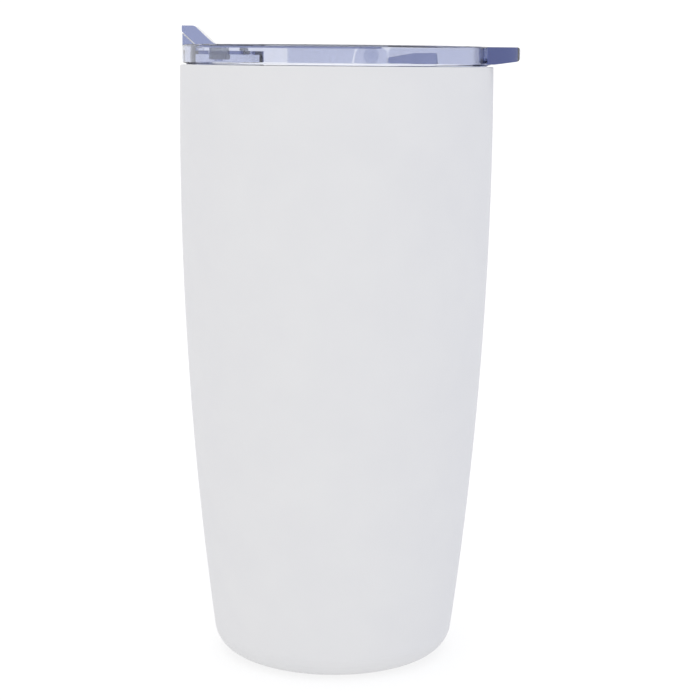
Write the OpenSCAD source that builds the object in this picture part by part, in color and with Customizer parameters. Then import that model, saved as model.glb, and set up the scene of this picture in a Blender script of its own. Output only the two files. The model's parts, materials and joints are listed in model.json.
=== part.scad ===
// Vacuum-insulated tumbler with a clear push-in lid and a flip cap over its sip opening.
// The origin is the centre of the foot, on the surface that the tumbler stands on.
// +Z is up. The drinking side is -X, and the tab that pulls the lid out is on +X.

/* [Body] */
// Widest outer diameter of the body
body_d = 89.2; // [84:0.1:94]
// Height of the steel rim above the table
rim_h = 171; // [150:1:200]
// How far below the rim the body is widest
bulge_drop = 18; // [10:1:30]
// Radius of the long arc that the wall follows from rim to foot
wall_arc_r = 1135; // [1000:5:1600]
// Rounding between the wall and the foot
foot_round = 8; // [6:0.5:10]
// Thickness of the coated outer wall
shell_t = 0.5; // [0.4:0.1:0.8]
// Thickness of the inner wall
liner_t = 0.5; // [0.4:0.1:0.7]
// Empty space between the two walls
vacuum_gap = 3.2; // [2.5:0.1:4]
// Height of the liner's floor above the table
floor_h = 9; // [8.5:0.5:12]

/* [Mouth] */
// Depth of the straight mouth that takes the lid
mouth_depth = 11; // [11:0.5:14]
// Height of the neck between the mouth and the narrower wall below it
neck_h = 4; // [3:0.5:8]

/* [Base] */
// Inner radius of the ring that the tumbler stands on
foot_r = 25; // [22:0.5:26]
// How far the base cover sits above the table
cover_recess = 1; // [0.6:0.1:1.2]

/* [Lid] */
// Diameter of the lid's edge
lid_d = 87.6; // [87:0.1:88]
// Height of the lid's top above the rim
lid_h = 5.6; // [5.4:0.1:7]
// Thickness of the ring round the lid
ring_t = 2.2; // [1.8:0.1:2.2]
// Gap that shows between the rim and the lid's overhang
lid_gap = 0.45; // [0.4:0.05:0.8]
// How far the deck lies below the rim
deck_drop = 0.6; // [0.4:0.1:1]
// Thickness of the deck
deck_t = 1.6; // [1.4:0.1:2]
// Outer radius of the skirt that goes down into the mouth
skirt_r = 42.7; // [42.4:0.1:42.8]
// How far the skirt reaches below the rim
skirt_depth = 10.6; // [10:0.1:10.8]
// Outer width of the housing round the sip opening
spout_w = 19.5; // [17:0.5:22]
// How far the pull tab stands out from the body's axis
tab_reach = 51.4; // [48:0.1:56]
// Width of the pull tab
tab_w = 26; // [18:1:28]

/* [Flip cap] */
// Width of the flip cap
cap_w = 13; // [12:0.5:15]
// Height of the thumb rest above the lid's top
thumb_h = 5.2; // [4:0.1:7]
// Thickness of the flip cap's plate
cap_t = 0.8; // [0.7:0.1:1]
// Distance of the hinge behind the body's axis
hinge_x = 9.7; // [9:0.1:11]
// How far the flip cap is turned open, for a look at the motion
open_angle = 0; // [0:5:105]

/* [Hidden] */
$fn = 96;

// The wall's long arc, in a half section with the radius along x and the height along y
bulge_h = rim_h - bulge_drop;
arc_centre = [body_d / 2 - wall_arc_r, bulge_h];
liner_inset = shell_t + vacuum_gap;
mouth_low = rim_h - mouth_depth;
neck_low = mouth_low - neck_h;
rim_round = 0.25;    // rounding of the walls' two edges at the rim
weld_gap = 0.05;     // slip between the liner's mouth and the outer wall
liner_round = 9;     // rounding between the liner's wall and floor

// Base
fold_h = 3.2;        // height of the outer wall's inward fold, which carries the vacuum base
fold_round = 0.8;
plate_t = 0.6;       // thickness of the vacuum base
port_r = 1;          // evacuation port in its middle
hat_r = 4.2;         // raised hat around the port
hat_h = 1.2;
getter_pos = [14, 0];
getter_r = 4;
getter_t = 1.5;

// Lid heights
lid_top = rim_h + lid_h;
lid_low = rim_h + lid_gap;
deck_top = rim_h - deck_drop;
deck_low = deck_top - deck_t;
skirt_low = rim_h - skirt_depth;
lid_r = lid_d / 2;
ring_in = lid_r - ring_t;
skirt_in = skirt_r - 2.3;
groove_r = skirt_r - 1.2; // bottom of the gasket's groove
groove_low = skirt_low + 1.2;
groove_top = groove_low + 3.8;

// Flip cap, and the drinking lip below its thumb rest
fit = 0.25;          // clearance between the flip cap and the lid
cap_low = lid_top - cap_t;
thumb_top = lid_top + thumb_h;
thumb_x = -39.9;     // inner edge of the thumb rest's flat top
ramp_x = -39;        // foot of the drinking lip's slope, which the thumb rest's underside follows
ramp_slope = 0.92;   // rise of that slope for each mm outwards
plate_x = -34.3;     // where the thumb rest's slope meets the plate
lip_top = lid_top + 3.1;
out_x = -47;         // past everything on the drinking side

// Housing of the sip opening, narrowing towards the middle, and the vent in its top
spout_x = [-40, -32, -19.6];
spout_wall = 1.6;
spout_top = lid_top - 1.7;
spout_t = 1;
sip_x = -33.6;
sip_boss = [1.3, 4];
seal_t = 1.1;
vent_x = -26.5;
vent_pip_r = 0.6;
vent_bore_r = vent_pip_r * 2 + 0.2;

// Hinge
hinge_z = lid_top - 2.7;
ear_x = [5.4, 14.4];
ear_t = 2;
lug_r = 2.2;
lug_t = 1.5;
heel = 2.8;          // how far the flip cap's plate reaches behind the hinge, where it meets the deck
trunnion_r = 1.2;
trunnion_fit = 0.08; // radial clearance of the trunnions in the ears

// Ribs under the flip cap's plate
rib_t = 2;
rib_x = [-13.9, 4.2];
rib_low = rim_h + 0.6;

// ---- Outlines ----

function xy(p) = [p[0], p[1]];
function unit(v) = v / norm(v);

// Points on an arc, from angle a0 to a1 in n steps, starting at step first
function arc(c, r, a0, a1, n, first = 0) =
    [for (i = [first:n]) let (a = a0 + (a1 - a0) * i / n) c + r * [cos(a), sin(a)]];

// The corner at b on the way from a to c, rounded to radius r
function corner(a, b, c, r, n) =
    let (u = unit(a - b),
         v = unit(c - b),
         half = acos(u * v) / 2,
         centre = b + unit(u + v) * r / sin(half),
         start = b + u * r / tan(half) - centre,
         a0 = atan2(start[1], start[0]),
         turn = (u[0] * v[1] - u[1] * v[0] < 0 ? 1 : -1) * (180 - 2 * half))
    arc(centre, r, a0, a0 + turn, max(2, ceil(n * abs(turn) / 90)));

// A closed outline whose points are [x, y, rounding]
function rounded(p, n = 5) =
    [for (i = [0:len(p) - 1])
        let (a = xy(p[(i + len(p) - 1) % len(p)]), b = xy(p[i]), c = xy(p[(i + 1) % len(p)]))
        each (p[i][2] == undef || p[i][2] == 0) ? [b] : corner(a, b, c, p[i][2], n)];

// An anticlockwise outline of the same kind, moved inwards by t
function inset(p, t) = [for (i = [0:len(p) - 1])
    let (u = unit(xy(p[i]) - xy(p[(i + len(p) - 1) % len(p)])),
         v = unit(xy(p[(i + 1) % len(p)]) - xy(p[i])),
         shift = t / (1 + u * v) * [u[1] + v[1], -u[0] - v[0]])
    [p[i][0] - shift[0], p[i][1] - shift[1], p[i][2] == undef ? 0 : max(0, p[i][2] - t)]];

function reversed(p) = [for (i = [len(p) - 1:-1:0]) p[i]];

// Radius of the outer wall at height z, less an inset
function wall_r(z, inset = 0) =
    arc_centre[0] + sqrt(pow(wall_arc_r - inset, 2) - pow(z - bulge_h, 2));

// Half section of the wall between two heights
function wall_arc(inset, z0, z1, n, first = 0) =
    let (r = wall_arc_r - inset)
    arc(arc_centre, r, asin((z0 - bulge_h) / r), asin((z1 - bulge_h) / r), n, first);

// Half section of a cup: from the edge of its flat floor, round the foot and up the wall
function cup_outline(inset, floor_z, round_r, z_top) =
    let (r = wall_arc_r - inset,
         c = [arc_centre[0] + sqrt(pow(r - round_r, 2) - pow(bulge_h - floor_z - round_r, 2)),
              floor_z + round_r],
         a = atan2(c[1] - bulge_h, c[0] - arc_centre[0]))
    concat(arc(c, round_r, -90, a, 12), wall_arc(inset, bulge_h + r * sin(a), z_top, 24, 1));

// The smooth neck from the straight mouth down to the wall, for the liner's two faces
function neck(r_top, inset, n = 10) =
    [for (i = [0:n])
        let (t = i / n, z = mouth_low - neck_h * t, s = (1 - cos(180 * t)) / 2)
        [r_top * (1 - s) + wall_r(z, inset) * s, z]];

// A slot with rounded corners, as half sizes along x and y
function slot_outline(half) =
    rounded([for (s = [[-1, -1], [1, -1], [1, 1], [-1, 1]])
        [s[0] * half[0], s[1] * half[1], half[0] / 2]], 6);

function grow(half, by) = [half[0] + by, half[1] + by];

// ---- Helpers that draw ----

module turned(outline) rotate_extrude() polygon(outline);

// An outline in x and z, extruded across the lid to a width
module across(outline, width)
    translate([0, width / 2, 0]) rotate([90, 0, 0]) linear_extrude(width) polygon(outline);

module upright(outline, z0, z1)
    translate([0, 0, z0]) linear_extrude(z1 - z0) polygon(outline);

// The children on both sides of the plane y = 0
module mirrored() for (side = [0, 1]) mirror([0, side, 0]) children();

// A round bar along y, centred on the hinge line
module hinge_bar(r, width)
    translate([hinge_x, width / 2, hinge_z]) rotate([90, 0, 0]) cylinder(r = r, h = width);

// ---- Body ----

// Coated steel wall, folded inwards under the foot
module outer_shell() color("whitesmoke")
    turned(concat(
        cup_outline(0, 0, foot_round, rim_h - rim_round),
        arc([wall_r(rim_h) - rim_round, rim_h - rim_round], rim_round, 0, 90, 3, 1),
        [[wall_r(rim_h, shell_t), rim_h]],
        reversed(cup_outline(shell_t, shell_t, foot_round - shell_t, rim_h - rim_round)),
        [[foot_r + shell_t, shell_t], [foot_r + shell_t, fold_h], [foot_r, fold_h]],
        arc([foot_r + fold_round, fold_round], fold_round, 180, 270, 5)));

// Steel cup that holds the drink, welded edge to edge with the outer wall at the rim
module inner_liner()
    let (mouth_out = wall_r(rim_h, shell_t) - weld_gap,
         mouth_in = mouth_out - liner_t)
    color("silver") turned(concat(
        [[0, floor_h - liner_t]],
        cup_outline(liner_inset, floor_h - liner_t, liner_round, neck_low - 0.5),
        reversed(neck(mouth_out, liner_inset)),
        [[mouth_out, rim_h]],
        arc([mouth_in + rim_round, rim_h - rim_round], rim_round, 90, 180, 3),
        neck(mouth_in, liner_inset + liner_t),
        reversed(cup_outline(liner_inset + liner_t, floor_h, liner_round - liner_t, neck_low - 0.5)),
        [[0, floor_h]]));

// Copper sleeve round the liner that turns back radiant heat
module copper_foil() color("peru")
    let (low = 24, high = 148, foil_t = 0.1, off = 0.1)
    turned(concat(
        wall_arc(liner_inset - off - foil_t, low, high, 20),
        reversed(wall_arc(liner_inset - off, low, high, 20))));

// Plate welded on the outer wall's fold, with a hat round the evacuation port
module vacuum_base() color("silver")
    let (z0 = fold_h, z1 = fold_h + plate_t, rim = foot_r + 2)
    turned([[port_r, z0 + hat_h], [hat_r - 1, z0 + hat_h], [hat_r - 0.2, z0], [rim, z0], [rim, z1],
            [hat_r + 0.1, z1], [hat_r - 0.7, z1 + hat_h], [port_r, z1 + hat_h]]);

// Glass bead that closes the port once the air is out
module port_seal() color("teal")
    let (z0 = fold_h + hat_h)
    turned(rounded([[0, z0 - 0.7], [2.4, z0 - 0.7, 0.5], [2.4, z0], [port_r, z0],
                    [port_r, z0 + plate_t], [0, z0 + plate_t]]));

// Pill that takes up stray gas inside the vacuum
module getter() color("dimgray")
    translate([getter_pos[0], getter_pos[1], fold_h + plate_t])
        cylinder(r = getter_r, h = getter_t);

// Spot-welded strap that holds the pill down
module getter_clip() color("silver")
    let (t = 0.3, z = fold_h + plate_t, top = z + getter_t, in_r = getter_r + 0.15, foot = 2.5)
    translate(getter_pos) across([
        [-in_r - foot, z], [-in_r, z], [-in_r, top], [in_r, top], [in_r, z], [in_r + foot, z],
        [in_r + foot, z + t], [in_r + t, z + t], [in_r + t, top + t], [-in_r - t, top + t],
        [-in_r - t, z + t], [-in_r - foot, z + t]], 3);

// Stamped steel cover pressed into the foot
module base_cover() color("silver")
    let (z = cover_recess, t = 0.6, r = foot_r - 0.1, step_r = 9, step = 0.4)
    turned(rounded([[0, z + step], [step_r - 0.4, z + step, 0.4], [step_r + 0.4, z, 0.4], [r, z, 0.8],
                    [r, fold_h - 0.3], [r - t, fold_h - 0.3], [r - t, z + t, 0.3],
                    [step_r + 0.6, z + t, 0.4], [step_r - 0.2, z + t + step, 0.4], [0, z + t + step]], 4));

// ---- Lid ----

// Half section of the lid: deck below the rim, ring, skirt and the gasket's groove
lid_outline = rounded([
    [0, deck_low], [skirt_in, deck_low, 1], [skirt_in, skirt_low, 0.6],
    [skirt_r, skirt_low, 0.5], [skirt_r, groove_low, 0.15], [groove_r, groove_low],
    [groove_r, groove_top], [skirt_r, groove_top, 0.15], [skirt_r, lid_low, 0.3],
    [lid_r, lid_low, 0.4], [lid_r, lid_top, 0.5], [ring_in, lid_top, 0.6],
    [ring_in, deck_top, 0.6], [0, deck_top]]);

// Side view of the drinking lip, whose top slopes down inwards
lip_side = [[ramp_x, spout_top - 0.5], [ramp_x, lid_top - 1],
            [out_x, lid_top - 1 + (ramp_x - out_x) * ramp_slope], [out_x, spout_top - 0.5]];

// Side view of the pull tab, thinner towards its end
tab_side = rounded([
    [skirt_in, lid_top - 0.1], [tab_reach, lid_top - 0.1, 1.1],
    [tab_reach, lid_top - 3.9, 1.4], [lid_r, lid_low + 0.25], [skirt_in, lid_low + 0.25]]);

// Top view of the pull tab, from inside the ring's thickness
tab_plan = rounded([
    [ring_in - 0.9, -tab_w / 2], [tab_reach, -tab_w / 2, 6], [tab_reach, tab_w / 2, 6],
    [ring_in - 0.9, tab_w / 2]], 8);

module pull_tab() difference() {
    intersection() {
        across(tab_side, tab_w + 20);
        upright(tab_plan, lid_low - 1, lid_top + 1);
    }
    cylinder(r = ring_in + 0.1, h = lid_top + 1);
}

// Wedge on the ring that the drinker's lips meet, as wide as the thumb rest above it
module drinking_lip() intersection() {
    across(lip_side, cap_w);
    cylinder(r = lid_r, h = lip_top);
}

// Top view of the housing that lifts the sip opening above the deck, from x0 to its narrow end
function spout_plan(x0) = [[x0, -spout_w / 2], [spout_x[1], -spout_w / 2, 6], [spout_x[2], 0, 2],
                           [spout_x[1], spout_w / 2, 6], [x0, spout_w / 2]];

// The two ears of the hinge
module ears()
    mirrored() translate([0, cap_w / 2 + fit + ear_t / 2, 0]) across(rounded([
        [ear_x[0] - 0.8, deck_low + 0.5], [ear_x[0], lid_top - 0.3, 2.5],
        [ear_x[1], lid_top - 0.3, 2.5], [ear_x[1], deck_low + 0.5]]), ear_t);

// Block behind the hinge, and the rails from there to the ring, where the tab pulls on it
module rear_brace() {
    across(rounded([[14.4, deck_low + 0.5], [14.4, lid_top - 3.2, 0.4], [21.5, lid_top - 1.9, 6],
                    [28.1, lid_top - 1.8, 0.5], [28.7, deck_low + 0.5]]), cap_w);
    mirrored() translate([0, cap_w / 2 - rib_t / 2, 0]) across(rounded([
        [14.7, deck_low + 0.5], [14.7, lid_top - 0.5, 1], [ring_in + 0.2, lid_top - 0.5],
        [ring_in + 0.2, deck_low + 0.5]]), rib_t);
}

// Clear lid with its ring, deck, skirt, drinking lip, spout housing, hinge ears and pull tab
module lid_base() color("lightsteelblue", 0.6) difference() {
    union() {
        turned(lid_outline);
        drinking_lip();
        pull_tab();
        intersection() {
            upright(rounded(spout_plan(-ring_in - 1), 8), deck_low + 0.5, spout_top);
            cylinder(r = ring_in + 0.3, h = lid_top);
        }
        ears();
        rear_brace();
    }
    intersection() {
        upright(rounded(inset(spout_plan(spout_x[0] - spout_wall), spout_wall), 8),
                deck_low - 1, spout_top - spout_t);
        cylinder(r = skirt_in - 0.4, h = lid_top);
    }
    hinge_bar(trunnion_r + trunnion_fit, cap_w + 2 * (fit + ear_t) + 1);
    translate([sip_x, 0, 0]) upright(slot_outline(grow(sip_boss, seal_t + fit)), deck_low - 1, lid_top);
    translate([vent_x, 0, deck_low]) cylinder(r = vent_bore_r, h = lid_top - deck_low);
}

// Silicone ring with two lobes, in the skirt's groove
module lid_gasket() color("ghostwhite")
    let (lobe_r = skirt_r + 0.4, low = groove_low, mid = (groove_low + groove_top) / 2)
    turned(rounded([
        [groove_r, low + 0.05], [skirt_r, low + 0.05, 0.2], [lobe_r, low + 0.6, 0.3],
        [lobe_r, low + 1.2, 0.3], [skirt_r - 0.3, mid, 0.3], [lobe_r, groove_top - 1.2, 0.3],
        [lobe_r, groove_top - 0.6, 0.3], [skirt_r, groove_top - 0.05, 0.2],
        [groove_r, groove_top - 0.05]], 4));

// ---- Flip cap ----

// Side view: the plate, the thumb rest and its sloping underside
cap_side = rounded([
    [out_x, thumb_top], [thumb_x, thumb_top, 1.5], [plate_x, lid_top, 4],
    [hinge_x + heel, lid_top, 0.3], [hinge_x + heel, cap_low], [ramp_x + fit, cap_low, 1],
    [out_x, cap_low + (ramp_x + fit - out_x) * ramp_slope]]);

// Turns what moves with the flip cap about the hinge
module flipped()
    translate([hinge_x, 0, hinge_z]) rotate([0, open_angle, 0])
        translate([-hinge_x, 0, -hinge_z]) children();

// Clear lever: plate, thumb rest, two ribs, two lugs with trunnions, and the bosses of its seals
module flip_cap() color("lightsteelblue", 0.6) flipped() {
    intersection() {
        across(cap_side, cap_w);
        translate([0, 0, cap_low - 1]) cylinder(r = lid_r + 0.15, h = thumb_h + 4);
    }
    mirrored() {
        translate([0, cap_w / 2 - rib_t / 2, 0]) across(rounded([
            [rib_x[0], cap_low + 0.3], [rib_x[0], rib_low, 0.5], [rib_x[1], rib_low, 0.5],
            [rib_x[1] + 0.9, cap_low + 0.3]]), rib_t);
        translate([hinge_x, cap_w / 2, hinge_z]) rotate([90, 0, 0]) cylinder(r = lug_r, h = lug_t);
        translate([hinge_x, cap_w / 2 + fit + ear_t, hinge_z])
            rotate([90, 0, 0]) cylinder(r = trunnion_r, h = fit + ear_t + 0.5);
    }
    translate([sip_x, 0, 0]) upright(slot_outline(sip_boss), spout_top - spout_t - 1.8, cap_low + 0.3);
    translate([vent_x, 0, spout_top - 1.2]) cylinder(r = vent_pip_r, h = cap_low - spout_top + 1.5);
}

// Silicone sleeve on the boss, which closes the sip opening
module sip_seal() color("ghostwhite") flipped()
    translate([sip_x, 0, 0]) difference() {
        upright(slot_outline(grow(sip_boss, seal_t)), spout_top - spout_t - 1.4, cap_low);
        upright(slot_outline(sip_boss), deck_low, cap_low + 1);
    }

// Small silicone sleeve that closes the vent
module vent_seal() color("ghostwhite") flipped()
    translate([vent_x, 0, spout_top - 0.9]) difference() {
        cylinder(r = vent_pip_r * 2, h = cap_low - spout_top + 0.9);
        translate([0, 0, -1]) cylinder(r = vent_pip_r, h = 10);
    }

outer_shell();
inner_liner();
copper_foil();
vacuum_base();
port_seal();
getter();
getter_clip();
base_cover();
lid_base();
lid_gasket();
flip_cap();
sip_seal();
vent_seal();
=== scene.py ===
"""Looks of the vacuum-insulated tumbler: materials, soft studio light and the camera."""
import json
import math

import bpy
from mathutils import Matrix

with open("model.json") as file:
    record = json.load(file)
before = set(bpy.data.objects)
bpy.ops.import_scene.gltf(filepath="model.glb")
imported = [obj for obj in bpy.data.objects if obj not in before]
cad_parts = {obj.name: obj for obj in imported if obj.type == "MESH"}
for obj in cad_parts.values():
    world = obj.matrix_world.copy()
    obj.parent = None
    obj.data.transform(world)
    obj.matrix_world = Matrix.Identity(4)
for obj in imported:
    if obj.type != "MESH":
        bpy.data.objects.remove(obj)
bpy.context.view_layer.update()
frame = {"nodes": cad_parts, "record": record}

MM = 0.001

# ---- Camera ----

CAMERA_DISTANCE = 500 * MM     # in front of the tumbler's axis
CAMERA_HEIGHT = 172.5 * MM
CAMERA_ASIDE = 4.43 * MM       # the tumbler stands a little left of the frame's centre
CAMERA_PITCH = math.radians(9.48)
CAMERA_ROLL = math.radians(0.5)
LENS_MM = 89.15


def make_camera():
    """The camera in front of the tumbler, on the -Y side, looking a little down."""
    data = bpy.data.cameras.new("camera")
    data.lens = LENS_MM
    data.sensor_width = 36
    data.clip_start = 0.01
    data.clip_end = 50
    camera = bpy.data.objects.new("camera", data)
    place = Matrix.Translation((CAMERA_ASIDE, -CAMERA_DISTANCE, CAMERA_HEIGHT))
    tilt = Matrix.Rotation(math.pi / 2 - CAMERA_PITCH, 4, "X")
    camera.matrix_world = place @ tilt @ Matrix.Rotation(CAMERA_ROLL, 4, "Z")
    bpy.context.scene.collection.objects.link(camera)
    bpy.context.scene.camera = camera


# ---- Materials ----

NOISE_LOW = 0.3                # most of a noise's values lie between these two
NOISE_HIGH = 0.7
MARKS_STRETCH = 0.1 * MM       # how far turned marks move along their noise for each radian


class Shader:
    """A material's node tree, with short calls for adding and joining nodes."""

    def __init__(self, name):
        self.material = bpy.data.materials.new(name)
        self.material.use_nodes = True
        self.tree = self.material.node_tree
        self.surface = self.tree.nodes["Principled BSDF"]
        self.place = self.add("ShaderNodeTexCoord").outputs["Object"]

    def add(self, kind, **settings):
        node = self.tree.nodes.new(kind)
        for name, value in settings.items():
            setattr(node, name, value)
        return node

    def join(self, source, socket):
        self.tree.links.new(source, socket)

    def set(self, **values):
        for name, value in values.items():
            self.surface.inputs[name.replace("_", " ")].default_value = value

    def math(self, operation, a, b=0.0):
        node = self.add("ShaderNodeMath", operation=operation)
        for socket, value in zip(node.inputs, (a, b)):
            if isinstance(value, (int, float)):
                socket.default_value = value
            else:
                self.join(value, socket)
        return node.outputs[0]

    def noise(self, size_mm, detail=2.0, place=None, roughness=0.5):
        """Noise whose grains are about size_mm across."""
        node = self.add("ShaderNodeTexNoise")
        node.inputs["Scale"].default_value = 1 / (size_mm * MM)
        node.inputs["Detail"].default_value = detail
        node.inputs["Roughness"].default_value = roughness
        self.join(place or self.place, node.inputs["Vector"])
        return node.outputs["Fac"]

    def colour(self, source, low, high):
        """Base colour that goes from low to high over the middle of a noise's range."""
        node = self.add("ShaderNodeValToRGB")
        for element, position, colour in zip(node.color_ramp.elements, (NOISE_LOW, NOISE_HIGH), (low, high)):
            element.position = position
            element.color = (*colour, 1)
        self.join(source, node.inputs["Fac"])
        self.join(node.outputs["Color"], self.surface.inputs["Base Color"])

    def roughness(self, source, low, high):
        """Roughness that goes from low to high over the middle of a noise's range."""
        node = self.add("ShaderNodeMapRange")
        for name, value in (("From Min", NOISE_LOW), ("From Max", NOISE_HIGH),
                            ("To Min", low), ("To Max", high)):
            node.inputs[name].default_value = value
        self.join(source, node.inputs["Value"])
        self.join(node.outputs["Result"], self.surface.inputs["Roughness"])

    def bump(self, height, depth_mm, strength=1.0):
        node = self.add("ShaderNodeBump")
        node.inputs["Strength"].default_value = strength
        node.inputs["Distance"].default_value = depth_mm * MM
        self.join(height, node.inputs["Height"])
        self.join(node.outputs["Normal"], self.surface.inputs["Normal"])

    def turned(self):
        """Coordinates that hardly change round the axis, so that noise on them makes turned marks."""
        parts = self.add("ShaderNodeSeparateXYZ")
        self.join(self.place, parts.inputs[0])
        x, y, z = parts.outputs
        radius = self.math("SQRT", self.math("ADD", self.math("MULTIPLY", x, x), self.math("MULTIPLY", y, y)))
        angle = self.math("MULTIPLY", self.math("ARCTAN2", y, x), MARKS_STRETCH)
        joined = self.add("ShaderNodeCombineXYZ")
        for source, socket in zip((radius, angle, z), joined.inputs):
            self.join(source, socket)
        return joined.outputs[0]


def powder_coat():
    """Matte white powder coat: fine orange peel, with a faint unevenness of colour and gloss."""
    s = Shader("powder_coat")
    s.colour(s.noise(14, 3), (0.700, 0.700, 0.710), (0.716, 0.716, 0.722))
    s.roughness(s.noise(0.6), 0.56, 0.70)
    s.set(Specular_IOR_Level=0.15)
    s.bump(s.noise(0.55, 3, roughness=0.6), 0.035, 0.6)
    return s.material


def steel():
    """Stainless steel with turned marks."""
    s = Shader("steel")
    marks = s.noise(0.25, 4, place=s.turned(), roughness=0.7)
    s.set(Metallic=1.0)
    s.colour(marks, (0.50, 0.50, 0.51), (0.64, 0.64, 0.65))
    s.roughness(marks, 0.24, 0.38)
    s.bump(marks, 0.01, 0.5)
    return s.material


def copper():
    """Bright copper foil, a little wrinkled."""
    s = Shader("copper")
    wrinkles = s.noise(6, 4, roughness=0.6)
    s.set(Metallic=1.0)
    s.colour(wrinkles, (0.70, 0.34, 0.20), (0.86, 0.48, 0.32))
    s.roughness(wrinkles, 0.2, 0.34)
    s.bump(wrinkles, 0.3, 0.4)
    return s.material


def sintered():
    """Dull dark grains pressed together."""
    s = Shader("sintered")
    grains = s.noise(0.3, 3)
    s.set(Metallic=0.6)
    s.colour(grains, (0.05, 0.05, 0.055), (0.11, 0.11, 0.12))
    s.roughness(grains, 0.6, 0.85)
    s.bump(grains, 0.08)
    return s.material


def fused_bead():
    """Dark glass that has melted and set."""
    s = Shader("fused_bead")
    flow = s.noise(1.5)
    s.colour(flow, (0.02, 0.10, 0.11), (0.05, 0.18, 0.19))
    s.roughness(flow, 0.08, 0.2)
    s.bump(flow, 0.05, 0.4)
    return s.material


def clear_plastic():
    """Clear polished plastic, tinted blue through its depth, with the faint waviness of a moulding."""
    s = Shader("clear_plastic")
    s.set(Base_Color=(1, 1, 1, 1), Roughness=0.03, IOR=1.5, Transmission_Weight=1.0)
    absorb = s.add("ShaderNodeVolumeAbsorption")
    absorb.inputs["Density"].default_value = 112
    absorb.inputs["Color"].default_value = (0.07, 0.16, 0.50, 1)
    s.join(absorb.outputs[0], s.tree.nodes["Material Output"].inputs["Volume"])
    s.bump(s.noise(5), 0.02, 0.3)
    return s.material


def silicone():
    """Milky silicone with a faintly uneven surface."""
    s = Shader("silicone")
    mist = s.noise(3)
    s.colour(mist, (0.80, 0.84, 0.96), (0.86, 0.89, 0.98))
    s.roughness(mist, 0.32, 0.42)
    s.set(Subsurface_Weight=0.6, Subsurface_Radius=(1, 1, 1), Subsurface_Scale=1.5 * MM)
    s.bump(s.noise(0.8), 0.01, 0.4)
    return s.material


MATERIALS = {
    "powder_coat": powder_coat,
    "steel": steel,
    "copper": copper,
    "bead": fused_bead,
    "getter": sintered,
    "clear_plastic": clear_plastic,
    "silicone": silicone,
}


def dress_nodes():
    """Gives each CAD node the material of its slot in the record."""
    made = {slot: make() for slot, make in MATERIALS.items()}
    for part in frame["record"]["subparts"]:
        mesh = frame["nodes"][part["node"]].data
        mesh.materials.clear()
        mesh.materials.append(made[part["material_slot"]])


# ---- Studio ----

FLOOR_RADIUS = 6.0
FLOOR_SIDES = 96
FLOOR_GLOW = 0.71
WORLD_STRENGTH = 1.10
RIGHT_LIGHT = (0.32, 0.38, 0.63)   # light from the right, against the white from elsewhere
LEFT_LIGHT = (0.62, 0.62, 0.68)
TOP_LIGHT = (2.0, 2.0, 2.0)        # softbox overhead
SIDES_FROM = 0.14                  # sine of the elevation where the weaker sides set in
SIDES_FULL = 0.30                  # and where they are full; the horizon stays white
SIDE_FALLOFF = 2                   # powers by which the sides and the softbox fade from their middles
TOP_FALLOFF = 6
MIX_A, MIX_B, MIX_OUT = 6, 7, 2    # a colour mix's two inputs and its output


def make_floor():
    """A round white floor, wide enough to reach the horizon from every side."""
    mesh = bpy.data.meshes.new("floor")
    rim = [(FLOOR_RADIUS * math.cos(a), FLOOR_RADIUS * math.sin(a), 0)
           for a in (2 * math.pi * i / FLOOR_SIDES for i in range(FLOOR_SIDES))]
    mesh.from_pydata(rim, [], [range(FLOOR_SIDES)])
    floor = bpy.data.objects.new("floor", mesh)
    bpy.context.scene.collection.objects.link(floor)
    s = Shader("floor")
    s.colour(s.noise(300), (0.24, 0.24, 0.24), (0.26, 0.26, 0.26))
    s.set(Roughness=0.9, Emission_Color=(1, 1, 1, 1), Emission_Strength=FLOOR_GLOW)
    mesh.materials.append(s.material)


def make_world():
    """White studio light from all round, with weaker sides and a softbox overhead."""
    world = bpy.data.worlds.new("studio")
    world.use_nodes = True
    tree = world.node_tree

    def clamped(operation, a, b):
        """A number node that joins socket a and number or socket b, kept within 0 to 1."""
        node = tree.nodes.new("ShaderNodeMath")
        node.operation = operation
        node.use_clamp = True
        tree.links.new(a, node.inputs[0])
        if isinstance(b, (int, float)):
            node.inputs[1].default_value = b
        else:
            tree.links.new(b, node.inputs[1])
        return node.outputs[0]

    parts = tree.nodes.new("ShaderNodeSeparateXYZ")
    tree.links.new(tree.nodes.new("ShaderNodeTexCoord").outputs["Generated"], parts.inputs[0])
    across, up = parts.outputs["X"], parts.outputs["Z"]
    risen = clamped("MULTIPLY", clamped("SUBTRACT", up, SIDES_FROM), 1 / (SIDES_FULL - SIDES_FROM))
    lobes = [clamped("POWER", clamped("MULTIPLY", across, side), SIDE_FALLOFF) for side in (1, -1)]
    right, left = [clamped("MULTIPLY", lobe, risen) for lobe in lobes]
    top = clamped("POWER", clamped("MULTIPLY", up, 1), TOP_FALLOFF)
    colour = None
    for share, light in ((right, RIGHT_LIGHT), (left, LEFT_LIGHT), (top, TOP_LIGHT)):
        mix = tree.nodes.new("ShaderNodeMix")
        mix.data_type = "RGBA"
        mix.inputs[MIX_A].default_value = (1, 1, 1, 1)
        mix.inputs[MIX_B].default_value = (*light, 1)
        tree.links.new(share, mix.inputs["Factor"])
        if colour is not None:
            tree.links.new(colour, mix.inputs[MIX_A])
        colour = mix.outputs[MIX_OUT]
    background = tree.nodes["Background"]
    tree.links.new(colour, background.inputs["Color"])
    background.inputs["Strength"].default_value = WORLD_STRENGTH
    bpy.context.scene.world = world


def set_look():
    """Plain colours, and enough light bounces for the clear lid."""
    scene = bpy.context.scene
    scene.view_settings.view_transform = "Standard"
    scene.cycles.use_denoising = True
    scene.cycles.transmission_bounces = 24
    scene.cycles.max_bounces = 32


make_camera()
dress_nodes()
make_floor()
make_world()
set_look()
